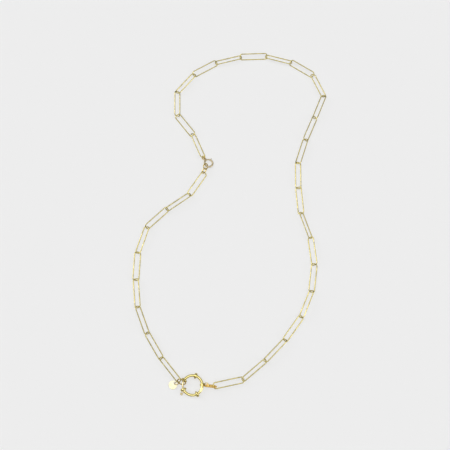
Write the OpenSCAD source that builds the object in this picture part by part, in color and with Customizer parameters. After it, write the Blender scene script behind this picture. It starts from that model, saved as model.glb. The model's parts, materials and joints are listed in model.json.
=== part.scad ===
// Link chain necklace, lying closed on a table: 32 long oval links of round wire, a large round
// clasp with collars at the front and a small spring ring clasp at the back. Millimetres, +Z up.
// The origin is on the table, below the middle of the loop.

/* [Chain] */
// Thickness of a link's wire
wire = 0.5; // [0.45:0.05:0.5]
// Width of a link, between the middles of its two side wires
link_w = 2.95; // [2.9:0.05:3]
// Radius of the bends at a link's corners, to the middle of the wire
corner_r = 1.05; // [1:0.05:1.1]
// Distance from one joint of the chain to the next
pitch = 13.45; // [13.4:0.05:13.5]
// How far the end bars of neighbouring links pass each other
lap = 0.65; // [0.6:0.05:0.7]
// How far the middle of a flat link may lie below its steeper neighbour's
sag = 0.35; // [0.25:0.05:0.35]

/* [Front clasp] */
// Radius of the clasp, to the middle of its tube
front_r = 4.45; // [4.4:0.05:4.5]
// Outer diameter of its tube
front_tube_d = 1.25; // [1.2:0.05:1.25]
// Bore of its tube
front_bore_d = 0.85; // [0.85:0.01:0.87]
// Diameter of the bolt that slides in the tube
front_bolt_d = 0.76; // [0.75:0.01:0.76]
// Outer diameter of the collars
collar_d = 2.8; // [2.75:0.05:2.85]
// Angle that the lever turns to open the gate, in degrees
front_travel = 46; // [44:1:46]

/* [Back clasp] */
// Radius of the spring ring, to the middle of its tube
back_r = 2.05; // [2:0.05:2.05]
// Outer diameter of its tube
back_tube_d = 0.9; // [0.85:0.05:0.9]
// Bore of its tube
back_bore_d = 0.66; // [0.64:0.01:0.66]
// Diameter of the bolt that slides in the tube
back_bolt_d = 0.58; // [0.56:0.01:0.58]
// Angle that the lever turns to open the gate, in degrees
back_travel = 38; // [36:1:38]

/* [Rings and tag] */
// Radius of the large jump ring at the front clasp's eye, to the middle of its wire
front_jump_r = 2.5; // [2.48:0.01:2.52]
// Thickness of its wire
front_jump_wire = 0.7; // [0.65:0.05:0.7]
// Radius of the ring that is hooked in the front clasp, to the middle of its wire
hook_r = 1.95; // [1.9:0.05:1.95]
// Thickness of its wire
hook_wire = 0.55; // [0.5:0.05:0.55]
// Radius of the small ring between the spring ring's eye and the chain
upper_r = 0.9; // [0.9:0.05:0.95]
// Radius of the two end rings that the spring ring hooks, to the middle of the wire
end_r = 1.5; // [1.5:0.05:1.55]
// Thickness of the wire of the rings at the back
small_wire = 0.5; // [0.45:0.05:0.5]
// Radius of the tag's ring, to the middle of its wire
tag_ring_r = 1.15; // [1.1:0.05:1.15]
// Thickness of its wire
tag_wire = 0.35; // [0.3:0.05:0.35]
// Diameter of the tag
tag_d = 4; // [3.8:0.1:4.2]
// Thickness of the tag
tag_t = 0.35; // [0.3:0.05:0.35]
// Diameter of the tag's hole
tag_hole_d = 1.1; // [1.1:0.05:1.15]

/* [Hidden] */
$fn = 48;

// The chain's two runs, both from the front clasp to the back clasp. Each row is one link:
// [heading in degrees from +X, roll about its own length in degrees]
RIGHT_RUN = [
    [12, -12], [40, 54], [46, -43], [54, 36], [67, -45], [82, 23], [96, -38], [108, 46],
    [94, -30], [89, 24], [72, -32], [67, 38], [68, -34], [113, 26], [146, -30], [164, 25],
    [182, -31], [195, 25], [211, -28], [231, 24], [271, -33], [307, 22], [293, -38]
];
LEFT_RUN = [
    [129, 44], [121, -39], [111, 43], [96, -30], [88, 24], [73, -30], [44, 50], [36, -28], [57, 34]
];
HEADING = 0;
ROLL = 1;
RIGHT_LINKS = len(RIGHT_RUN);
LINKS = RIGHT_LINKS + len(LEFT_RUN);

// The front clasp's own angles, counted from its eye: collars, gate and lever
COLLARS = [70, 147, 203, 296];
gate_from = 158;
gate_to = 194;
front_lever = 216;

// Its collars, and its eye with the neck and sleeve that hold it to the tube
collar_w = 1.3;
collar_bead_r = 0.6;
eye_reach = 6.35;
eye_r = 0.88;
eye_wire = 0.45;
neck_d = 0.7;
sleeve_d = 2.2;
sleeve_w = 1.3;

// Its bolt: the ends inside the tube, in degrees, and the lever that stands out of the slot
bolt_in_gate = 4;
bolt_behind = 24;
stem_d = 0.5;
stem_gap = 0.04;
slot_spare = 4;
nub_d = 0.95;
nub_out = 1.9;
nub_half = 6.5;

// The back clasp's angles, and its eye's size
back_eye = 132;
back_eye_reach = 3;
back_eye_r = 0.62;
back_eye_wire = 0.4;
back_gate_from = 78;
back_gate_to = 112;
back_lever = 62;
back_bolt_behind = 18;
back_stem_d = 0.3;
back_slot_spare = 5;
back_nub_out = 0.85;
back_nub_d = 0.5;

// Where things lie on the table: the front clasp, and round it the ends of the two runs and the rings
front_at = [-18.95, -84];
front_turn = 2;
front_z = collar_d / 2;
right_start = front_at + along(-1.6, 9.88);
left_start = front_at + along(162, 6.43);
front_jump_at = front_at + along(-3.6, 8.38);
hook_at = front_at + along(163.3, 5.22);
tag_ring_at = front_at + along(171.7, 7.14);
tag_at = front_at + along(178.2, 9);
tag_turn = 44;
tag_tilt = 8;
tag_hole_in = 0.78;
tag_rim = 0.08;

// The back clasp lies between the far ends of the two runs, tilted where the end ring holds it up
right_end = joint_after(RIGHT_RUN, right_start, RIGHT_LINKS);
left_end = joint_after(LEFT_RUN, left_start, len(LEFT_RUN));
upper_at = right_end + along(-57.8, 0.57);
back_at = right_end + along(-50.2, 4.45);
back_z = 0.87;
back_tilt = 11;
back_raised = 206;
end_ring_1_at = left_end + along(97, 1.34);
end_ring_2_at = left_end + along(81.6, 3.69);

function along(heading, distance) = distance * [cos(heading), sin(heading)];
function joint_after(run, start, n) =
    n == 0 ? start : joint_after(run, start, n - 1) + along(run[n - 1][HEADING], pitch);

// Height of a link's middle when it lies on its own lower wire, and where its neighbours hold it up
function own_z(row) = wire / 2 + link_w / 2 * abs(sin(row[ROLL]));
function link_z(run, i) = max(
    own_z(run[i]),
    i == 0 ? front_z : own_z(run[i - 1]) - sag,
    i == len(run) - 1 ? 0 : own_z(run[i + 1]) - sag
);

function link_name(n) = str("link_", n < 10 ? "0" : "", n);

// A round rod bent to part of a circle
module arc_rod(radius, d, from, to) {
    rotate([0, 0, from]) rotate_extrude(angle = to - from) translate([radius, 0]) circle(d = d);
}

// A slot through the outer wall of a bent tube, for the lever's stem
module lever_slot(radius, tube_d, width, from, to) {
    rotate([0, 0, from]) rotate_extrude(angle = to - from)
        translate([radius, -width / 2]) square([tube_d, width]);
}

// A link: four straight stretches of wire and four tight bends, soldered shut
module link_wire() {
    half_l = (pitch + lap) / 2;
    bend_x = half_l - corner_r;
    bend_y = link_w / 2 - corner_r;
    for (side = [-1, 1]) {
        translate([-bend_x, side * link_w / 2, 0]) rotate([0, 90, 0]) cylinder(h = 2 * bend_x, d = wire);
        translate([side * half_l, bend_y, 0]) rotate([90, 0, 0]) cylinder(h = 2 * bend_y, d = wire);
    }
    for (bend = [[1, 1, 0], [-1, 1, 90], [-1, -1, 180], [1, -1, 270]])
        translate([bend[0] * bend_x, bend[1] * bend_y, 0]) arc_rod(corner_r, wire, bend[2], bend[2] + 90);
}

module link(n) {
    on_right = n <= RIGHT_LINKS;
    run = on_right ? RIGHT_RUN : LEFT_RUN;
    i = on_right ? n - 1 : n - 1 - RIGHT_LINKS;
    heading = run[i][HEADING];
    middle = joint_after(run, on_right ? right_start : left_start, i) + along(heading, pitch / 2);
    color([0.84, 0.74, 0.46])
        translate([middle[0], middle[1], link_z(run, i)]) rotate([run[i][ROLL], 0, heading]) link_wire();
}

// A closed jump ring that stands on the table, leaning by its roll
module jump_ring(at, heading, roll, radius, thick) {
    color([0.84, 0.66, 0.36])
        translate([at[0], at[1], thick / 2 + radius * abs(sin(roll))])
        rotate([roll, 0, heading]) rotate_extrude() translate([radius, 0]) circle(d = thick);
}

module front_jump_ring() { jump_ring(front_jump_at, -6.8, -74, front_jump_r, front_jump_wire); }
module hook_ring() { jump_ring(hook_at, 164, -62.5, hook_r, hook_wire); }
module tag_ring() { jump_ring(tag_ring_at, 200, 49, tag_ring_r, tag_wire); }
module upper_jump_ring() { jump_ring(upper_at, 301, 50, upper_r, small_wire); }
module end_ring_1() { jump_ring(end_ring_1_at, 69, -48, end_r, small_wire); }
module end_ring_2() { jump_ring(end_ring_2_at, 69, 55, end_r, small_wire); }

// The tag: a thin polished disc with a softened rim, its hole next to the ring that carries it
module tag() {
    flat_r = tag_d / 2 - tag_rim;
    half_t = tag_t / 2;
    color([0.93, 0.88, 0.72])
        translate([tag_at[0], tag_at[1], half_t + tag_d / 2 * sin(tag_tilt)])
        rotate([0, -tag_tilt, tag_turn]) difference() {
            rotate_extrude() polygon([
                [0, -half_t], [flat_r, -half_t], [tag_d / 2, tag_rim - half_t],
                [tag_d / 2, half_t - tag_rim], [flat_r, half_t], [0, half_t]
            ]);
            translate([tag_d / 2 - tag_hole_in, 0, -tag_t]) cylinder(h = 2 * tag_t, d = tag_hole_d);
        }
}

module in_front_clasp() {
    translate([front_at[0], front_at[1], front_z]) rotate([0, 0, front_turn]) children();
}

// A collar on the tube: a short sleeve with a round bead about its middle
module collar() {
    bead_at = collar_d / 2 - collar_bead_r;
    translate([front_r, 0, 0]) rotate([90, 0, 0]) {
        cylinder(h = collar_w, r = bead_at, center = true);
        rotate_extrude() translate([bead_at, 0]) circle(r = collar_bead_r);
    }
}

// The eye that the jump ring goes through, with its neck and the sleeve that holds it to the tube
module front_eye() {
    translate([front_r, 0, 0]) {
        rotate([90, 0, 0]) cylinder(h = sleeve_w, d = sleeve_d, center = true);
        rotate([0, 90, 0]) cylinder(h = eye_reach - eye_r - front_r, d = neck_d);
    }
    translate([eye_reach, 0, 0]) arc_rod(eye_r, eye_wire, 0, 360);
}

module front_ring() {
    color([0.82, 0.68, 0.34]) in_front_clasp() difference() {
        union() {
            arc_rod(front_r, front_tube_d, gate_to, gate_from + 360);
            for (at = COLLARS) rotate([0, 0, at]) collar();
            front_eye();
        }
        arc_rod(front_r, front_bore_d, gate_to - 1, gate_from + 361);
        lever_slot(
            front_r, front_tube_d, stem_d + 2 * stem_gap,
            front_lever - slot_spare, front_lever + front_travel + slot_spare
        );
    }
}

// The bolt lies across the gate, and its lever stands out of the slot
module front_bolt() {
    nub_r = front_r + nub_out;
    color([0.88, 0.78, 0.5]) in_front_clasp() {
        arc_rod(front_r, front_bolt_d, gate_from - bolt_in_gate, front_lever + bolt_behind);
        rotate([0, 0, front_lever]) translate([front_r, 0, 0]) rotate([0, 90, 0])
            cylinder(h = nub_r - front_r, d = stem_d);
        arc_rod(nub_r, nub_d, front_lever - nub_half, front_lever + nub_half);
    }
}

module in_back_clasp() {
    translate([back_at[0], back_at[1], back_z])
        rotate([0, 0, back_raised]) rotate([0, -back_tilt, 0]) rotate([0, 0, -back_raised]) children();
}

module back_ring() {
    color([0.8, 0.68, 0.4]) in_back_clasp() difference() {
        union() {
            arc_rod(back_r, back_tube_d, back_gate_to, back_gate_from + 360);
            rotate([0, 0, back_eye]) translate([back_eye_reach, 0, 0]) arc_rod(back_eye_r, back_eye_wire, 0, 360);
        }
        arc_rod(back_r, back_bore_d, back_gate_to - 1, back_gate_from + 361);
        lever_slot(
            back_r, back_tube_d, back_stem_d + 2 * stem_gap,
            back_lever - back_travel - back_slot_spare, back_lever + back_slot_spare
        );
    }
}

module back_bolt() {
    nub_at = back_r + back_nub_out;
    color([0.86, 0.76, 0.48]) in_back_clasp() {
        arc_rod(back_r, back_bolt_d, back_lever - back_bolt_behind, back_gate_to + bolt_in_gate);
        rotate([0, 0, back_lever]) translate([back_r, 0, 0]) rotate([0, 90, 0])
            cylinder(h = nub_at - back_r, d = back_stem_d);
        rotate([0, 0, back_lever]) translate([nub_at, 0, 0]) sphere(d = back_nub_d);
    }
}

for (n = [1:LINKS]) link(n);
front_ring();
front_bolt();
front_jump_ring();
hook_ring();
tag_ring();
tag();
back_ring();
back_bolt();
upper_jump_ring();
end_ring_1();
end_ring_2();
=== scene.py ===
"""A link chain necklace lying closed on a pale table: long oval wire links, a large round clasp with a
tag beside it, and a small spring ring. The pieces' sizes are in millimetres until a mesh is made, and those
of the table, its backdrop and the camera are in metres. Angles are in degrees."""
import json

import bmesh
import bpy
import numpy as np
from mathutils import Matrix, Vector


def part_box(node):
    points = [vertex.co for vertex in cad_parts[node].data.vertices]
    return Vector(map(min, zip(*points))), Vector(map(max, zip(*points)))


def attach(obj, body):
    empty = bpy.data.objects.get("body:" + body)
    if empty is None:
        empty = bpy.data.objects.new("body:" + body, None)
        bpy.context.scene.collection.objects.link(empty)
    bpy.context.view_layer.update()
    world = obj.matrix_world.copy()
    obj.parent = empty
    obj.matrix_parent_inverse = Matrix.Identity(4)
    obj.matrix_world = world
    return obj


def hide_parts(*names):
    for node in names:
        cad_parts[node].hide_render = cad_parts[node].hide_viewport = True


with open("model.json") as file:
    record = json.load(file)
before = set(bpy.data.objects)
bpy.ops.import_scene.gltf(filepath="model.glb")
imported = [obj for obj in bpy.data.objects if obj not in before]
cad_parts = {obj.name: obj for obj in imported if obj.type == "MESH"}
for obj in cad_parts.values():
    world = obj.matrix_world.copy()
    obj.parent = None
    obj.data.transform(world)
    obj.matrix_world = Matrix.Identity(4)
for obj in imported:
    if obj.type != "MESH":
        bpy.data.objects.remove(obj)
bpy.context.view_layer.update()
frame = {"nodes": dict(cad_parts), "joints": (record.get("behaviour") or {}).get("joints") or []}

# The long links. Each is a length of round brass wire bent to a flat loop with tight corners, soldered
# shut in the middle of one long side, then tumbled bright and plated with pale gold. The end bars of
# neighbouring links hook through each other, and each link lies rolled to one side or the other.
MM = 0.001
LINK_HALF_LENGTH = 7.05
LINK_HALF_WIDTH = 1.475
LINK_CORNER = 1.05
LINK_WIRE = 0.5
LINK_SIDES = 16
BEND_POINTS = 9
# Column by column: which corner of the link, in x and y, the angle where its bend starts, the way of the
# straight that follows, in x and y, and the number of points along that straight.
LINK_RUNS = [
    [1, 1, 0, -1, 0, 26],
    [-1, 1, 90, 0, -1, 5],
    [-1, -1, 180, 1, 0, 26],
    [1, -1, 270, 0, 1, 5],
]
SOLDER_SWELL = 0.04
SOLDER_REACH = 0.45
NO_LENGTH = 1e-9


def lie_of(node):
    """Middle and own axes of a solid, from its volume: the rows of the second value are its long, middle
    and short directions, found as the principal axes of the sum over its tetrahedra of x times x. Each
    direction is turned so that its x plus half its y isn't negative."""
    mesh = frame["nodes"][node].data
    mesh.calc_loop_triangles()
    points = np.empty(len(mesh.vertices) * 3)
    mesh.vertices.foreach_get("co", points)
    corners = np.empty(len(mesh.loop_triangles) * 3, dtype=int)
    mesh.loop_triangles.foreach_get("vertices", corners)
    points = points.reshape(-1, 3) / MM
    near = points.mean(axis=0)
    tri = (points - near)[corners].reshape(-1, 3, 3)
    volume = np.linalg.det(tri) / 6
    total = tri.sum(axis=1)
    middle = (volume[:, None] * total / 4).sum(axis=0) / volume.sum()
    spread = np.einsum("n,ni,nj->ij", volume / 20, total, total)
    spread += np.einsum("n,nki,nkj->ij", volume / 20, tri, tri)
    spread -= volume.sum() * np.outer(middle, middle)
    axes = np.linalg.eigh(spread)[1].T[::-1]
    axes *= np.where(axes[:, [0]] + 0.5 * axes[:, [1]] < 0, -1, 1)
    axes[2] = np.cross(axes[0], axes[1])
    return near + middle, axes


def loop_of_link(half_length, half_width, corner):
    """Middle line of a link in its own plane. On a bend a point is the bend's centre plus the corner radius
    times (cos, sin) of its angle, and straights run between one bend's end and the next one's start."""
    quarter = np.radians(np.linspace(0, 90, BEND_POINTS))
    half = np.array([half_length, half_width]) - corner
    out = []
    for side_x, side_y, start, way_x, way_y, along in LINK_RUNS:
        angle = quarter + np.radians(start)
        bend = half * (side_x, side_y) + corner * np.c_[np.cos(angle), np.sin(angle)]
        straight = np.linspace(0, 1, along)[1:-1, None] * 2 * half * (way_x, way_y)
        out += [bend, bend[-1] + straight]
    return np.c_[np.concatenate(out), np.zeros(sum(map(len, out)))]


def skin_of(grid, run, girth, closed):
    """Points, faces and pattern of a skin. A cell of its grid is the four-sided face between the points
    (i, j), (i, j + 1), (i + 1, j + 1) and (i + 1, j), wrapped round where the grid closes, and its corners
    in the pattern are the lengths along and around at those points."""
    n, m = grid.shape[:2]
    i, j = np.meshgrid(np.arange(n if closed else n - 1), np.arange(m), indexing="ij")
    i, j = i.ravel(), j.ravel()
    far, right = (i + 1) % n, (j + 1) % m
    faces = np.stack([i * m + j, i * m + right, far * m + right, far * m + j], 1)
    u, v = np.asarray(run), np.asarray(girth)
    pattern = np.stack([u[i], v[j], u[i], v[j + 1], u[i + 1], v[j + 1], u[i + 1], v[j]], 1)
    return grid.reshape(-1, 3), faces, pattern.reshape(-1, 4, 2)


def wire_along(path, normal, thickness, sides, closed=True):
    """Skin of a round wire on a flat middle line. A point is the line's point plus half the thickness times
    (cos a times the plane's normal + sin a times the normal crossed with the line's direction)."""
    if closed:
        ahead, behind = np.roll(path, -1, axis=0), np.roll(path, 1, axis=0)
    else:
        ahead, behind = np.r_[path[1:], path[-1:]], np.r_[path[:1], path[:-1]]
    forward = ahead - behind
    forward[np.linalg.norm(forward, axis=1) < NO_LENGTH] = path[-1] - path[0]
    forward /= np.linalg.norm(forward, axis=1)[:, None]
    aside = np.cross(normal, forward)
    a = np.linspace(0, 2 * np.pi, sides, endpoint=False)
    half = np.broadcast_to(np.asarray(thickness, float) / 2, len(path))
    ring = np.cos(a)[None, :, None] * np.asarray(normal, float) + np.sin(a)[None, :, None] * aside[:, None]
    grid = path[:, None] + half[:, None, None] * ring
    run = np.r_[0, np.cumsum(np.linalg.norm(np.diff(path, axis=0), axis=1))]
    if closed:
        run = np.r_[run, run[-1] + np.linalg.norm(path[0] - path[-1])]
    girth = np.linspace(0, 2 * np.pi * half.max(), sides + 1)
    return skin_of(grid, run, girth, closed)


MERGE_WITHIN_M = 2e-7
NO_EDGE_M = 1e-7
SHARP_OVER = 42


def plated_piece(name, skins, gold, slot, body, *nodes):
    """One object from several skins of points, four-sided faces and pattern. Points that meet become one."""
    counts = np.cumsum([0] + [len(points) for points, _, _ in skins])
    points = np.concatenate([points for points, _, _ in skins]) * MM
    faces = np.concatenate([first + faces for first, (_, faces, _) in zip(counts, skins)])
    pattern = np.concatenate([pattern for _, _, pattern in skins])
    mesh = bpy.data.meshes.new(name)
    mesh.from_pydata(points, [], faces)
    mesh.uv_layers.new(name="wire").data.foreach_set("uv", pattern.ravel())
    tidy = bmesh.new()
    tidy.from_mesh(mesh)
    bmesh.ops.remove_doubles(tidy, verts=tidy.verts, dist=MERGE_WITHIN_M)
    bmesh.ops.dissolve_degenerate(tidy, edges=tidy.edges, dist=NO_EDGE_M)
    bmesh.ops.delete(tidy, geom=[v for v in tidy.verts if not v.link_faces], context="VERTS")
    bmesh.ops.recalc_face_normals(tidy, faces=tidy.faces)
    tidy.to_mesh(mesh)
    tidy.free()
    mesh.polygons.foreach_set("use_smooth", np.ones(len(mesh.polygons), bool))
    mesh.set_sharp_from_angle(angle=np.radians(SHARP_OVER))
    mesh.materials.append(gold)
    piece = bpy.data.objects.new(name, mesh)
    bpy.context.scene.collection.objects.link(piece)
    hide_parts(*nodes)
    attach(piece, body)
    return piece


# The patches' scale is per metre. That of the polishing lines is per millimetre of the wire's pattern, drawn
# out along the wire and pressed together round it by the stretch, and the lines' depth is in metres.
PATCH_SCALE = 620
PATCH_DETAIL = 4
PATCH_ROUGH = 0.62
PATCH_FROM, PATCH_TO = 0.34, 0.62
HAZE_FROM, HAZE_TO = 0.3, 0.7
HAZE_RISE = 0.09
LINE_STRETCH = (0.9, 14, 1)
LINE_SCALE = 2.2
LINE_DETAIL = 5
LINE_ROUGH = 0.7
LINE_DEEP_M = 0.00002
MIX_SHARE, MIX_FIRST, MIX_SECOND, MIX_RESULT = 0, 6, 7, 2


def gold_plate(name, pale, deep, polish, scratch, painted_shade=None):
    """Plated and polished brass. The colour drifts between pale and deep in patches of a millimetre or two,
    roughness rises in the deeper patches, and fine polishing lines run the way of the wire's pattern. Where a
    piece is given a painted shade colour, the colour goes over to that one by the share of painted shade at
    each point."""
    gold = bpy.data.materials.new(name)
    gold.use_nodes = True
    nodes, links = gold.node_tree.nodes, gold.node_tree.links
    shader = nodes["Principled BSDF"]
    shader.inputs["Metallic"].default_value = 1
    place = nodes.new("ShaderNodeTexCoord")
    cloud = nodes.new("ShaderNodeTexNoise")
    cloud.inputs["Scale"].default_value = PATCH_SCALE
    cloud.inputs["Detail"].default_value = PATCH_DETAIL
    cloud.inputs["Roughness"].default_value = PATCH_ROUGH
    links.new(place.outputs["Object"], cloud.inputs["Vector"])
    tone = nodes.new("ShaderNodeValToRGB")
    tone.color_ramp.elements[0].position = PATCH_FROM
    tone.color_ramp.elements[0].color = (*deep, 1)
    tone.color_ramp.elements[1].position = PATCH_TO
    tone.color_ramp.elements[1].color = (*pale, 1)
    links.new(cloud.outputs["Fac"], tone.inputs["Fac"])
    colour = tone.outputs["Color"]
    # Painted shade: the colour is mixed towards a dark one by a share stored on the mesh.
    if painted_shade:
        share = nodes.new("ShaderNodeAttribute")
        share.attribute_name = "painted_shade"
        shaded_colour = nodes.new("ShaderNodeMix")
        shaded_colour.data_type = "RGBA"
        links.new(share.outputs["Fac"], shaded_colour.inputs[MIX_SHARE])
        links.new(colour, shaded_colour.inputs[MIX_FIRST])
        shaded_colour.inputs[MIX_SECOND].default_value = (*painted_shade, 1)
        colour = shaded_colour.outputs[MIX_RESULT]
    links.new(colour, shader.inputs["Base Color"])
    haze = nodes.new("ShaderNodeMapRange")
    haze.inputs["From Min"].default_value = HAZE_FROM
    haze.inputs["From Max"].default_value = HAZE_TO
    haze.inputs["To Min"].default_value = polish + HAZE_RISE
    haze.inputs["To Max"].default_value = polish
    links.new(cloud.outputs["Fac"], haze.inputs["Value"])
    links.new(haze.outputs["Result"], shader.inputs["Roughness"])
    along = nodes.new("ShaderNodeUVMap")
    along.uv_map = "wire"
    stretch = nodes.new("ShaderNodeMapping")
    stretch.inputs["Scale"].default_value = LINE_STRETCH
    links.new(along.outputs["UV"], stretch.inputs["Vector"])
    lines = nodes.new("ShaderNodeTexNoise")
    lines.inputs["Scale"].default_value = LINE_SCALE
    lines.inputs["Detail"].default_value = LINE_DETAIL
    lines.inputs["Roughness"].default_value = LINE_ROUGH
    links.new(stretch.outputs["Vector"], lines.inputs["Vector"])
    bump = nodes.new("ShaderNodeBump")
    bump.inputs["Strength"].default_value = scratch
    bump.inputs["Distance"].default_value = LINE_DEEP_M
    links.new(lines.outputs["Fac"], bump.inputs["Height"])
    links.new(bump.outputs["Normal"], shader.inputs["Normal"])
    return gold


chain_gold = gold_plate(
    "chain_gold", pale=(0.79, 0.68, 0.27), deep=(0.45, 0.38, 0.12), polish=0.12, scratch=0.35,
)
flat_loop = loop_of_link(LINK_HALF_LENGTH, LINK_HALF_WIDTH, LINK_CORNER)
on_soldered_side = flat_loop[:, 1] > 0
swell = SOLDER_SWELL * np.exp(-(flat_loop[:, 0] / SOLDER_REACH) ** 2) * on_soldered_side
for node in sorted(name for name in frame["nodes"] if name.startswith("link_")):
    middle, axes = lie_of(node)
    skin = wire_along(middle + flat_loop @ axes, axes[2], LINK_WIRE + swell, LINK_SIDES)
    plated_piece("gold_" + node, [skin], chain_gold, "chain_gold", "chain", node)

# The jump rings: short lengths of wire wound round a rod, cut, and pushed shut so that a fine line shows
# where the two ends meet. The heavy one on the clasp's eye is a warmer gold than the chain, and the two at
# the gate, which rub on the collar, are a deeper one.
RING_SIDES = 20
RING_STEPS = 96
# Column by column: the ring, the radius of its wire's middle line, the wire's thickness, the angle of the cut
# about the ring, and its gold.
RINGS = [
    ["front_jump_ring", 2.5, 0.7, 112, "warm_gold"],
    ["hook_ring", 1.95, 0.55, 60, "deep_gold"],
    ["tag_ring", 1.15, 0.35, 250, "deep_gold"],
    ["upper_jump_ring", 0.9, 0.5, 80, "ring_gold"],
    ["end_ring_1", 1.5, 0.5, 200, "ring_gold"],
    ["end_ring_2", 1.5, 0.5, 130, "ring_gold"],
]
SEAM_HALF = 0.05
SEAM_DEEP = 0.07
SEAM_STEP = 0.4
# Column by column: the gold, its pale and deep colours, and its polish.
RING_GOLDS = [
    ["warm_gold", (0.91, 0.60, 0.16), (0.70, 0.43, 0.08), 0.12],
    ["deep_gold", (0.66, 0.51, 0.18), (0.38, 0.28, 0.08), 0.13],
    ["ring_gold", (0.86, 0.68, 0.24), (0.55, 0.40, 0.10), 0.13],
]
golds = {
    name: gold_plate(name, pale=pale, deep=deep, polish=polish, scratch=0.3)
    for name, pale, deep, polish in RING_GOLDS
}


def round_path(radius, degrees, middle, axes):
    """Points at the given angles on a circle: the middle plus the radius times (cos, sin) in its plane."""
    t = np.radians(degrees)
    return middle + radius * (np.cos(t)[:, None] * axes[0] + np.sin(t)[:, None] * axes[1])


for node, radius, thick, seam_at, gold in RINGS:
    middle, axes = lie_of(node)
    seam = np.degrees(SEAM_HALF / radius)
    seam_steps = 360 + seam * np.array([-SEAM_STEP, 0, SEAM_STEP])
    turn = np.r_[np.linspace(seam, 360 - seam, RING_STEPS), seam_steps]
    away = np.abs((turn + 180) % 360 - 180) / seam
    groove = SEAM_DEEP * 2 * np.clip(1 - away, 0, 1)
    path = round_path(radius, turn + seam_at, middle, axes)
    skin = wire_along(path, axes[2], thick - groove, RING_SIDES)
    plated_piece("shut_" + node, [skin], golds[gold], "ring_gold", "chain", node)

# The large round clasp: a brass tube bent to a ring and left open for a gate. Turned collars and the sleeve
# of the eye are slipped on and soldered, and the wall has a slot for the lever. All is plated gold.
# The clasp's gold also carries a dark olive colour that is painted on the collars' sides as shade.
clasp_gold = gold_plate(
    "clasp_gold", pale=(0.98, 0.86, 0.40), deep=(0.76, 0.64, 0.22), polish=0.10, scratch=0.25,
    painted_shade=(0.32, 0.23, 0.06),
)
CLASP_R = 4.45
CLASP_TUBE = 0.625
CLASP_BORE = 0.425
CLASP_SIDES = 26
CLASP_STEP = 2.5
LIP_DEGREES = 3.2
CLASP_TURN = 2
CLASP_GATE = [194, 518]
CLASP_SLOT = [212, 266]
SLOT_HALF = 0.29
SLOT_POINTS = 3
COLLARS = [70, 147, 203, 296]
EYE_AT = 0
COLLAR_SHAPE = np.array([
    [-0.65, 0.625], [-0.64, 0.76], [-0.62, 0.8], [-0.6, 0.82], [-0.57, 0.98], [-0.5, 1.13], [-0.4, 1.245],
    [-0.3, 1.32], [-0.15, 1.38], [0, 1.4], [0.15, 1.38], [0.3, 1.32], [0.4, 1.245], [0.5, 1.13],
    [0.57, 0.98], [0.6, 0.82], [0.62, 0.8], [0.64, 0.76], [0.65, 0.625],
])
SLEEVE_SHAPE = np.array([
    [-0.65, 0.625], [-0.64, 0.98], [-0.59, 1.06], [-0.5, 1.1], [-0.3, 1.1], [-0.26, 1.05], [0.26, 1.05],
    [0.3, 1.1], [0.5, 1.1], [0.59, 1.06], [0.64, 0.98], [0.65, 0.625],
])
AT, THICK = 0, 1


def joint_named(name):
    """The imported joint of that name."""
    return next(joint for joint in frame["joints"] if joint["name"] == name)


def seat_of(joint, turn, sense):
    """Middle and axes of a ring clasp: upright is tilted the shortest way on to the lever's own axis, and
    the ring's first direction is the table's +X turned by that many degrees before the tilt. The tilt is the
    identity + cross + cross times cross / (1 + the axis's height), with cross the matrix of the cross product
    with the level direction that it tips over."""
    up = sense * np.array(joint["axis"], float)
    up /= np.linalg.norm(up)
    side = np.array([-up[1], up[0], 0])
    cross = np.array([[0, -side[2], side[1]], [side[2], 0, -side[0]], [-side[1], side[0], 0]])
    tilt = np.eye(3) + cross + cross @ cross / (1 + up[2])
    c, s = np.cos(np.radians(turn)), np.sin(np.radians(turn))
    flat = np.array([[c, s, 0], [-s, c, 0], [0, 0, 1]])
    return np.array(joint["pos_m"], float) / MM, flat @ tilt.T


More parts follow.
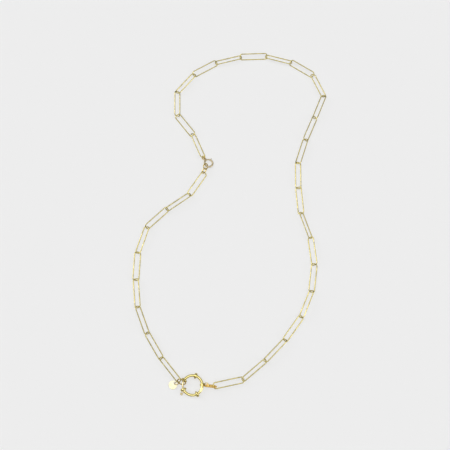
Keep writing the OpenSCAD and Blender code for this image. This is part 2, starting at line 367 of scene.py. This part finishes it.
def slotted_tube(radius, thick_at, bore, gate, slot, slot_half, seat, sides, degrees):
    """Shell of a bent tube. Its outer point is at (radius + thick cos a) from the clasp's middle and
    thick sin a above it, and its inner point the same with the bore. Cells inside the slot are left out, and
    each edge between a kept cell and none gets a wall from the outer skin to the inner one."""
    middle, axes = seat
    turn = np.unique(np.round(np.r_[gate, slot, degrees[(degrees > gate[0]) & (degrees < gate[1])]], 4))
    thick = thick_at(turn)
    edge_out = np.degrees(np.arcsin(slot_half / thick_at(np.array([np.mean(slot)]))[0]))
    edge_in = np.degrees(np.arcsin(slot_half / bore))
    half = np.r_[np.linspace(0, edge_out, SLOT_POINTS), np.linspace(edge_out, 180, sides // 2)[1:]]
    around = np.r_[-half[:0:-1], half][1:]
    inside = np.sign(around) * np.interp(np.abs(around), [0, edge_out, 180], [0, edge_in, 180])

    def skin(size, angle):
        t, a = np.radians(turn)[:, None], np.radians(angle)[None, :]
        reach = radius + size[:, None] * np.cos(a)
        flat = reach[..., None] * (np.cos(t)[..., None] * axes[0] + np.sin(t)[..., None] * axes[1])
        return middle + flat + (size[:, None] * np.sin(a))[..., None] * axes[2]

    outer, inner = skin(thick, around), skin(np.full(len(turn), bore), inside)
    n, m = len(turn), len(around)
    mid_turn = (turn[:-1] + turn[1:]) / 2
    mid_around = (around + np.r_[around[1:], around[0] + 360]) / 2
    in_slot = (mid_turn > slot[0]) & (mid_turn < slot[1])
    keep = ~(in_slot[:, None] & (np.abs(mid_around) < edge_out)[None, :])
    index = np.arange(n * m).reshape(n, m)
    right = np.roll(index, -1, axis=1)
    cells = np.stack([index[:-1], right[:-1], right[1:], index[1:]], -1)[keep]
    rows = np.zeros((n + 1, m), bool)
    rows[1:n] = keep
    across = rows[:-1] != rows[1:]
    columns = keep != np.roll(keep, 1, axis=1)
    ends = np.stack([index[across], right[across]], -1)
    sides_of = np.stack([index[:-1][columns], index[1:][columns]], -1)
    rim = np.concatenate([ends, sides_of])
    walls = np.c_[rim, rim[:, ::-1] + n * m]
    faces = np.concatenate([cells, cells[:, ::-1] + n * m, walls])
    u, v = np.radians(turn) * radius, np.radians(np.r_[around, around[0] + 360]) * bore
    i, j = np.nonzero(keep)
    on_cells = np.stack([u[i], v[j], u[i], v[j + 1], u[i + 1], v[j + 1], u[i + 1], v[j]], 1).reshape(-1, 4, 2)
    i, j = np.divmod(walls % (n * m), m)
    pattern = np.concatenate([on_cells, on_cells[:, ::-1], np.stack([u[i], v[j]], -1)])
    return np.concatenate([outer.reshape(-1, 3), inner.reshape(-1, 3)]), faces, pattern


LIP_LEAST = 0.03
LIP_POINTS = 7


def lips(turn, gate, radius, thick, bore):
    """Rounded ends of a cut tube: over the last tenth or so of a millimetre the outer wall falls to the bore
    as a quarter circle, thickness = bore + wall times the square root of (1 - (1 - d / wall) squared)."""
    wall = thick - bore
    d = np.radians(np.minimum(turn - gate[0], gate[1] - turn)) * radius
    fall = np.clip(1 - d / wall, 0, 1)
    return bore + LIP_LEAST + (wall - LIP_LEAST) * np.sqrt(np.clip(1 - fall ** 2, 0, 1))


def tube_steps(gate, step, lip):
    """Angles along a bent tube: even steps from one side of the gate to the other, and finer ones close to
    both, where the lips round off."""
    fine = np.linspace(0, lip, LIP_POINTS)
    return np.concatenate([np.arange(gate[0] + 1, gate[1], step), gate[0] + fine, gate[1] - fine])


def clasp_thickness(turn):
    """Half thickness of the clasp's tube at each angle: the larger of the tube's with its rounded ends and,
    at the length s along it from each collar's and the sleeve's middle, what their turned profiles give."""
    thick = lips(turn, CLASP_GATE, CLASP_R, CLASP_TUBE, CLASP_BORE)
    for at, shape in [[at, COLLAR_SHAPE] for at in COLLARS] + [[EYE_AT, SLEEVE_SHAPE]]:
        s = np.radians((turn - at + 180) % 360 - 180) * CLASP_R
        thick = np.maximum(thick, np.interp(s, shape[:, AT], shape[:, THICK], left=0, right=0))
    return thick


TURNED_SIDES = 20
NEARLY_UPRIGHT = 0.9


def turned_rod(start, direction, lengths, radii, sides=TURNED_SIDES):
    """A rod turned on its own axis: at each length along the direction a circle of that radius, with a last
    circle of no size at both ends so that the skin closes."""
    direction = np.asarray(direction, float) / np.linalg.norm(direction)
    path = start + np.asarray(lengths)[:, None] * direction
    helper = np.array([0, 0, 1.0]) if abs(direction[2]) < NEARLY_UPRIGHT else np.array([1.0, 0, 0])
    normal = np.cross(direction, helper)
    normal /= np.linalg.norm(normal)
    return wire_along(path, normal, 2 * np.asarray(radii, float), sides, closed=False)


def out_at(seat, degrees):
    """The direction from a ring's middle at that angle: cos times its first axis + sin times its second."""
    t = np.radians(degrees)
    return np.cos(t) * seat[1][0] + np.sin(t) * seat[1][1]


def soldered_eye(seat, at, reach, radius, wire, steps, sides):
    """A small ring of wire in a clasp's own plane, its middle at that angle and reach from the clasp's."""
    turn = np.linspace(0, 360, steps, endpoint=False)
    path = round_path(radius, turn, seat[0] + reach * out_at(seat, at), seat[1])
    return wire_along(path, seat[1][2], wire, sides)


front_seat = seat_of(joint_named("front_lever_slide"), turn=CLASP_TURN, sense=1)
fine = np.concatenate([at + np.degrees(COLLAR_SHAPE[:, AT] / CLASP_R) for at in COLLARS])
sleeve = 360 + np.degrees(SLEEVE_SHAPE[:, AT] / CLASP_R)
steps = np.concatenate([tube_steps(CLASP_GATE, CLASP_STEP, LIP_DEGREES), fine, fine + 360, sleeve])
clasp_shell = slotted_tube(
    CLASP_R, clasp_thickness, CLASP_BORE, CLASP_GATE, CLASP_SLOT, SLOT_HALF, front_seat, CLASP_SIDES, steps,
)
EYE_REACH = 6.35
EYE_R = 0.88
EYE_WIRE = 0.45
EYE_STEPS = 48
EYE_SIDES = 16
NECK = np.array([
    [0.7, 0], [0.7, 0.46], [0.8, 0.4], [0.88, 0.35], [0.96, 0.35], [1.04, 0.3], [1.1, 0.2], [1.1, 0],
])
at_front, front_axes = front_seat
eye = soldered_eye(front_seat, EYE_AT, EYE_REACH, EYE_R, EYE_WIRE, EYE_STEPS, EYE_SIDES)
neck = turned_rod(at_front + CLASP_R * front_axes[0], front_axes[0], NECK[:, AT], NECK[:, THICK])
clasp = plated_piece("round_clasp", [clasp_shell, eye, neck], clasp_gold, "clasp_gold", "chain", "front_ring")
# How far the painted shade reaches along the tube from a collar's middle, over how much more it fades, the
# most
# # of the shade colour that it takes, and how far outside the tube's middle line it ends, which leaves the
# eye unshaded.
PAINTED_SHADE_HALF = 0.65
PAINTED_SHADE_FADE = 0.3
PAINTED_SHADE_MOST = 0.85
PAINTED_SHADE_OUT = 1.5


def painted_shade_of_clasp(mesh):
    """Share of painted shade at each point, which stands for the dark that the collars' curved sides mirror:
    full along the collars and the sleeve with its neck, and fading beside them, times the square of how far
    the point faces along the clasp's radius, so that the sides are painted darker than the tops."""
    points = np.empty(len(mesh.vertices) * 3)
    mesh.vertices.foreach_get("co", points)
    x, y, z = ((points.reshape(-1, 3) / MM - at_front) @ front_axes.T).T
    turn, aside = np.degrees(np.arctan2(y, x)), np.hypot(x, y) - CLASP_R
    near = np.min([np.abs((turn - at + 180) % 360 - 180) for at in COLLARS + [EYE_AT]], axis=0)
    along = np.clip(1 - (np.radians(near) * CLASP_R - PAINTED_SHADE_HALF) / PAINTED_SHADE_FADE, 0, 1)
    facing = np.abs(aside) / np.maximum(np.hypot(aside, z), NO_LENGTH) * (aside < PAINTED_SHADE_OUT)
    share = mesh.attributes.new("painted_shade", "FLOAT", "POINT")
    share.data.foreach_set("value", PAINTED_SHADE_MOST * along * facing ** 2)


# Painted shade on the clasp: its collars and sleeve are darkened on their sides by this share.
painted_shade_of_clasp(clasp.data)

# The clasp's bolt: a brass rod bent to the same ring, its tip rounded, that crosses the gate under a hidden
# spring. A pin through the slot carries the thumb lever, a short bar with grooves for the nail.
bolt_gold = gold_plate(
    "bolt_gold", pale=(0.86, 0.74, 0.44), deep=(0.68, 0.54, 0.26), polish=0.10, scratch=0.3,
)
BOLT = [154, 240]
BOLT_HALF = 0.38
LEVER_AT = 216
LEVER_OUT = 1.9
PIN_HALF = 0.25
LEVER_HALF = 0.475
LEVER_SPAN = 6.5
LEVER_GROOVES = 3
GROOVE_PITCH = 0.24
GROOVE_HALF = 0.05
GROOVE_DEEP = 0.045
ROD_SIDES = 20
ROD_STEPS = 60
CAP_POINTS = 7


def round_ends(length, radius, count):
    """Half thickness along a rod with round ends: the radius times the square root of (1 - (1 - d / radius)
    squared) within a radius of an end at distance d, and the radius between."""
    cap = radius * (1 - np.cos(np.radians(np.linspace(0, 90, CAP_POINTS))))
    d = np.unique(np.r_[cap, np.linspace(radius, length - radius, count), length - cap])
    fall = np.clip(1 - np.minimum(d, length - d) / radius, 0, 1)
    return d, radius * np.sqrt(np.clip(1 - fall ** 2, 0, 1))


def bent_rod(seat, radius, span, half, grooves=0):
    """A rod with round ends on a ring's circle, with that many fine grooves about its middle. At distance d
    from a groove the half thickness loses the groove's depth times e to the minus (d / its half width)
    squared."""
    middle, axes = seat
    length = np.radians(span[1] - span[0]) * radius
    d, thick = round_ends(length, half, ROD_STEPS)
    for mark in length / 2 + (np.arange(grooves) - (grooves - 1) / 2) * GROOVE_PITCH:
        thick = thick - GROOVE_DEEP * np.exp(-((d - mark) / GROOVE_HALF) ** 2)
    path = round_path(radius, span[0] + np.degrees(d / radius), middle, axes)
    return wire_along(path, axes[2], 2 * thick, ROD_SIDES, closed=False)


def lever_pin(seat, radius, at, out, half, sides=TURNED_SIDES):
    """The plain pin that carries a lever, from the bolt's middle outward through the slot."""
    way = out_at(seat, at)
    return turned_rod(seat[0] + radius * way, way, [0, 0, out, out], [0, half, half, 0], sides)


pin = lever_pin(front_seat, CLASP_R, LEVER_AT, LEVER_OUT, PIN_HALF)
lever_span = [LEVER_AT - LEVER_SPAN, LEVER_AT + LEVER_SPAN]
lever = bent_rod(front_seat, CLASP_R + LEVER_OUT, lever_span, LEVER_HALF, LEVER_GROOVES)
bolt = bent_rod(front_seat, CLASP_R, BOLT, BOLT_HALF)
plated_piece("clasp_bolt", [bolt, pin, lever], bolt_gold, "bolt_gold", "front_lever", "front_bolt")

# The tag: a small disc stamped from pale gold sheet, its rim rounded by tumbling, its face mirror-bright and
# bare, with one punched hole that its ring goes through.
tag_gold = gold_plate(
    "tag_gold", pale=(0.84, 0.79, 0.58), deep=(0.76, 0.70, 0.45), polish=0.08, scratch=0.12,
)
TAG_R = 2
TAG_HALF = 0.175
TAG_HOLE_R = 0.55
TAG_HOLE_IN = 0.78
TAG_TURN = 44
TAG_TILT = 8
TAG_ROUND = 0.09
TAG_STEPS = 96
TAG_ROUND_POINTS = 6
# Two more rows of points lie on the flat face, at these distances from each edge. All the rows draw together
# where the metal between hole and rim is narrower than the full width.
TAG_FLAT_ROWS = [0.3, 0.6]
TAG_FULL_WIDTH = 1.4
TAG_PATTERN = 8
tag_low, tag_high = (np.array(corner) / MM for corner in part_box("tag"))
turn, tilt = np.radians(TAG_TURN), np.radians(-TAG_TILT)
TAG_AXES = np.array([
    [np.cos(turn) * np.cos(tilt), np.sin(turn) * np.cos(tilt), -np.sin(tilt)],
    [-np.sin(turn), np.cos(turn), 0],
    [np.cos(turn) * np.sin(tilt), np.sin(turn) * np.sin(tilt), np.cos(tilt)],
])


def punched_disc(middle, axes):
    """A disc with a round hole. Going round its section once, a point runs over the top from the hole to the
    rim, down round the rim and back below: place = (1 - s) times the hole's circle + s times the rim's
    circle, height = the half thickness times the rounding towards both edges."""
    a = np.linspace(0, 2 * np.pi, TAG_STEPS, endpoint=False)
    hole = np.c_[TAG_R - TAG_HOLE_IN + TAG_HOLE_R * np.cos(a), TAG_HOLE_R * np.sin(a)]
    rim = TAG_R * np.c_[np.cos(a), np.sin(a)]
    width = np.linalg.norm(rim - hole, axis=1)
    bend = np.radians(np.linspace(90, 0, TAG_ROUND_POINTS))
    d = np.r_[TAG_ROUND * (1 - np.sin(bend)), TAG_FLAT_ROWS]
    lift = np.r_[TAG_HALF - TAG_ROUND + TAG_ROUND * np.cos(bend), np.full(len(TAG_FLAT_ROWS), TAG_HALF)]
    near = d[None, :] * np.minimum(1, width[:, None] / TAG_FULL_WIDTH)
    s_hole, s_rim = near / width[:, None], 1 - near[:, ::-1] / width[:, None]
    s = np.c_[s_hole, s_rim, s_rim[:, ::-1], s_hole[:, ::-1]]
    z = np.r_[lift, lift[::-1], -lift, -lift[::-1]]
    flat = (1 - s)[..., None] * hole[:, None] + s[..., None] * rim[:, None]
    grid = middle + flat[..., [0]] * axes[0] + flat[..., [1]] * axes[1] + z[None, :, None] * axes[2]
    run = np.linspace(0, 2 * np.pi * TAG_R, TAG_STEPS + 1)
    return skin_of(grid, run, np.linspace(0, TAG_PATTERN, grid.shape[1] + 1), True)


plated_piece(
    "bare_tag", [punched_disc((tag_low + tag_high) / 2, TAG_AXES)], tag_gold, "tag_gold", "chain", "tag",
)

# The spring ring at the back: the same clasp in small, a bent brass tube with a soldered eye, and in it a
# bolt whose lever is a round knob. It lies tilted, held up on one side by the end ring that is hooked in it.
spring_gold = gold_plate(
    "spring_gold", pale=(0.72, 0.61, 0.40), deep=(0.52, 0.43, 0.26), polish=0.28, scratch=0.25,
)
SPRING_R = 2.05
SPRING_TUBE = 0.45
SPRING_BORE = 0.33
SPRING_GATE = [112, 438]
SPRING_SLOT = [379, 427]
SPRING_SLOT_HALF = 0.19
SPRING_EYE_AT = 132
SPRING_EYE_REACH = 3
SPRING_EYE_R = 0.62
SPRING_EYE_WIRE = 0.4
SPRING_BOLT = [44, 116]
SPRING_BOLT_HALF = 0.29
SPRING_LEVER_AT = 62
SPRING_LEVER_OUT = 0.85
SPRING_PIN_HALF = 0.15
SPRING_LEVER_HALF = 0.25
SPRING_SIDES = 22
SPRING_STEP = 4.0
SPRING_ROD_SIDES = 14
SPRING_LIP_DEGREES = 4.5
SPRING_EYE_STEPS = 40
KNOB_STRAIGHT = 0.002
back_seat = seat_of(joint_named("back_lever_slide"), turn=0, sense=-1)


def spring_thickness(turn):
    """Half thickness of the spring ring's tube at each angle, with its rounded ends."""
    return lips(turn, SPRING_GATE, SPRING_R, SPRING_TUBE, SPRING_BORE)


spring_shell = slotted_tube(
    SPRING_R, spring_thickness, SPRING_BORE, SPRING_GATE, SPRING_SLOT, SPRING_SLOT_HALF, back_seat,
    SPRING_SIDES, tube_steps(SPRING_GATE, SPRING_STEP, SPRING_LIP_DEGREES),
)
spring_eye = soldered_eye(
    back_seat, SPRING_EYE_AT, SPRING_EYE_REACH, SPRING_EYE_R, SPRING_EYE_WIRE, SPRING_EYE_STEPS,
    SPRING_ROD_SIDES,
)
plated_piece("spring_ring", [spring_shell, spring_eye], spring_gold, "clasp_gold", "chain", "back_ring")
spring_bolt = bent_rod(back_seat, SPRING_R, SPRING_BOLT, SPRING_BOLT_HALF)
spring_pin = lever_pin(
    back_seat, SPRING_R, SPRING_LEVER_AT, SPRING_LEVER_OUT, SPRING_PIN_HALF, SPRING_ROD_SIDES,
)
knob_way = out_at(back_seat, SPRING_LEVER_AT)
knob_foot = back_seat[0] + (SPRING_R + SPRING_LEVER_OUT - SPRING_LEVER_HALF) * knob_way
d, thick = round_ends(2 * SPRING_LEVER_HALF, SPRING_LEVER_HALF - KNOB_STRAIGHT / 2, 2)
spring_knob = turned_rod(knob_foot, knob_way, d, thick)
plated_piece(
    "spring_bolt", [spring_bolt, spring_pin, spring_knob], spring_gold, "bolt_gold",
    "back_lever", "back_bolt",
)

# The table: a plain pale sheet, matt, with hardly any grain. Far round it stands a pale backdrop, a half
# sphere that only the camera sees, so that low views look on to the same tone as the sheet.
FLOOR_HALF = 3.0
FLOOR_BASE = (0.30, 0.30, 0.30)
FLOOR_GLOW = 0.58
BACKDROP_R = 2.9
BACKDROP_GLOW = 0.847
BACKDROP_ROWS = 13
BACKDROP_SIDES = 48


def matt_stage(name, points, faces, base, glow):
    """One flat-toned, matt piece of the stage, with a share of its light its own so that it stays even."""
    mesh = bpy.data.meshes.new(name)
    mesh.from_pydata(points, [], faces)
    stage = bpy.data.objects.new(name, mesh)
    bpy.context.scene.collection.objects.link(stage)
    tone = bpy.data.materials.new(name)
    tone.use_nodes = True
    shader = tone.node_tree.nodes["Principled BSDF"]
    shader.inputs["Base Color"].default_value = (*base, 1)
    shader.inputs["Emission Color"].default_value = (1, 1, 1, 1)
    shader.inputs["Emission Strength"].default_value = glow
    shader.inputs["Roughness"].default_value = 1
    shader.inputs["Specular IOR Level"].default_value = 0
    mesh.materials.append(tone)
    return stage


square = FLOOR_HALF * np.array([[-1, -1, 0], [1, -1, 0], [1, 1, 0], [-1, 1, 0]])
matt_stage("table_sheet", square, [[0, 1, 2, 3]], FLOOR_BASE, FLOOR_GLOW)
climb = np.radians(np.linspace(0, 90, BACKDROP_ROWS))[:, None]
about = np.radians(np.linspace(0, 360, BACKDROP_SIDES, endpoint=False))[None, :]
dome = np.stack([np.cos(climb) * np.cos(about), np.cos(climb) * np.sin(about), np.sin(climb) + 0 * about], -1)
points, faces, _ = skin_of(
    BACKDROP_R * dome, np.arange(BACKDROP_ROWS + 1), np.arange(BACKDROP_SIDES + 1), False,
)
backdrop = matt_stage("pale_backdrop", points, faces, (0, 0, 0), BACKDROP_GLOW)
backdrop.visible_diffuse = backdrop.visible_glossy = False
backdrop.visible_transmission = backdrop.visible_shadow = False

# The studio: a tent of soft light, bright overhead and dim near the table, with two broad panels, so that
# the polished wire has light and dark to mirror while the table stays evenly lit. A ramp's colours end at
# one, so all light goes in at this share and is brought back to full at the end.
RAMP_SHARE = 0.5
# Column by column: the sine of the height above the table, and the light there.
TENT_STEPS = [[0.0, 0.03], [0.30, 0.04], [0.66, 0.10], [0.84, 1.2], [1.0, 1.5]]
# Column by column: the way to the panel's middle, the cosines of the angles from there at which it starts and
# at which it is full, and its light.
PANELS = [
    [[-0.75, 0.35, 0.55], 0.94, 0.97, 3.5],
    [[0.80, -0.25, 0.50], 0.95, 0.98, 3.0],
]
world = bpy.data.worlds.new("light_tent")
world.use_nodes = True
bpy.context.scene.world = world
sky, join = world.node_tree.nodes, world.node_tree.links
way = sky.new("ShaderNodeTexCoord")
height = sky.new("ShaderNodeSeparateXYZ")
join.new(way.outputs["Generated"], height.inputs["Vector"])
tent = sky.new("ShaderNodeValToRGB")
tent.color_ramp.interpolation = "B_SPLINE"
ramp_steps = tent.color_ramp.elements
while len(ramp_steps) < len(TENT_STEPS):
    ramp_steps.new(0.5)
for step, (at, light) in zip(ramp_steps, TENT_STEPS):
    step.position = at
    step.color = (*[light * RAMP_SHARE] * 3, 1)
join.new(height.outputs["Z"], tent.inputs["Fac"])
total = tent.outputs["Color"]
for toward, dim_at, bright_at, strength in PANELS:
    toward = np.array(toward) / np.linalg.norm(toward)
    facing = sky.new("ShaderNodeVectorMath")
    facing.operation = "DOT_PRODUCT"
    facing.inputs[1].default_value = toward
    join.new(way.outputs["Generated"], facing.inputs[0])
    panel = sky.new("ShaderNodeMapRange")
    panel.interpolation_type = "SMOOTHSTEP"
    panel.inputs["From Min"].default_value = dim_at
    panel.inputs["From Max"].default_value = bright_at
    panel.inputs["To Max"].default_value = strength * RAMP_SHARE
    join.new(facing.outputs["Value"], panel.inputs["Value"])
    add = sky.new("ShaderNodeMath")
    join.new(total, add.inputs[0])
    join.new(panel.outputs["Result"], add.inputs[1])
    total = add.outputs["Value"]
whole = sky.new("ShaderNodeMath")
whole.operation = "MULTIPLY"
whole.inputs[1].default_value = 1 / RAMP_SHARE
join.new(total, whole.inputs[0])
join.new(whole.outputs["Value"], sky["Background"].inputs["Strength"])
sky["Background"].inputs["Color"].default_value = (1, 1, 1, 1)
bpy.context.scene.view_settings.view_transform = "Standard"

# The camera: above the table and in front, looking a little down the loop's length, as in the photograph.
# Its focal length is in pixels of the photograph's frame, and its distance and aim are in metres.
FOCUS_PIXELS = 790.5
FRAME_PIXELS = 450
SENSOR_MM = 36
ELEVATION = np.radians(70.73)
DISTANCE = 0.3858
AIM = np.array([-0.00415, -0.00655, 0.001])
NEAREST_SEEN = 0.01
lens = bpy.data.cameras.new("camera")
lens.type = "PERSP"
lens.sensor_width = SENSOR_MM
lens.lens = SENSOR_MM * FOCUS_PIXELS / FRAME_PIXELS
lens.clip_start = NEAREST_SEEN
camera = bpy.data.objects.new("camera", lens)
bpy.context.scene.collection.objects.link(camera)
camera.location = AIM + DISTANCE * np.array([0, -np.cos(ELEVATION), np.sin(ELEVATION)])
camera.rotation_euler = (np.pi / 2 - ELEVATION, 0, 0)
bpy.context.scene.camera = camera
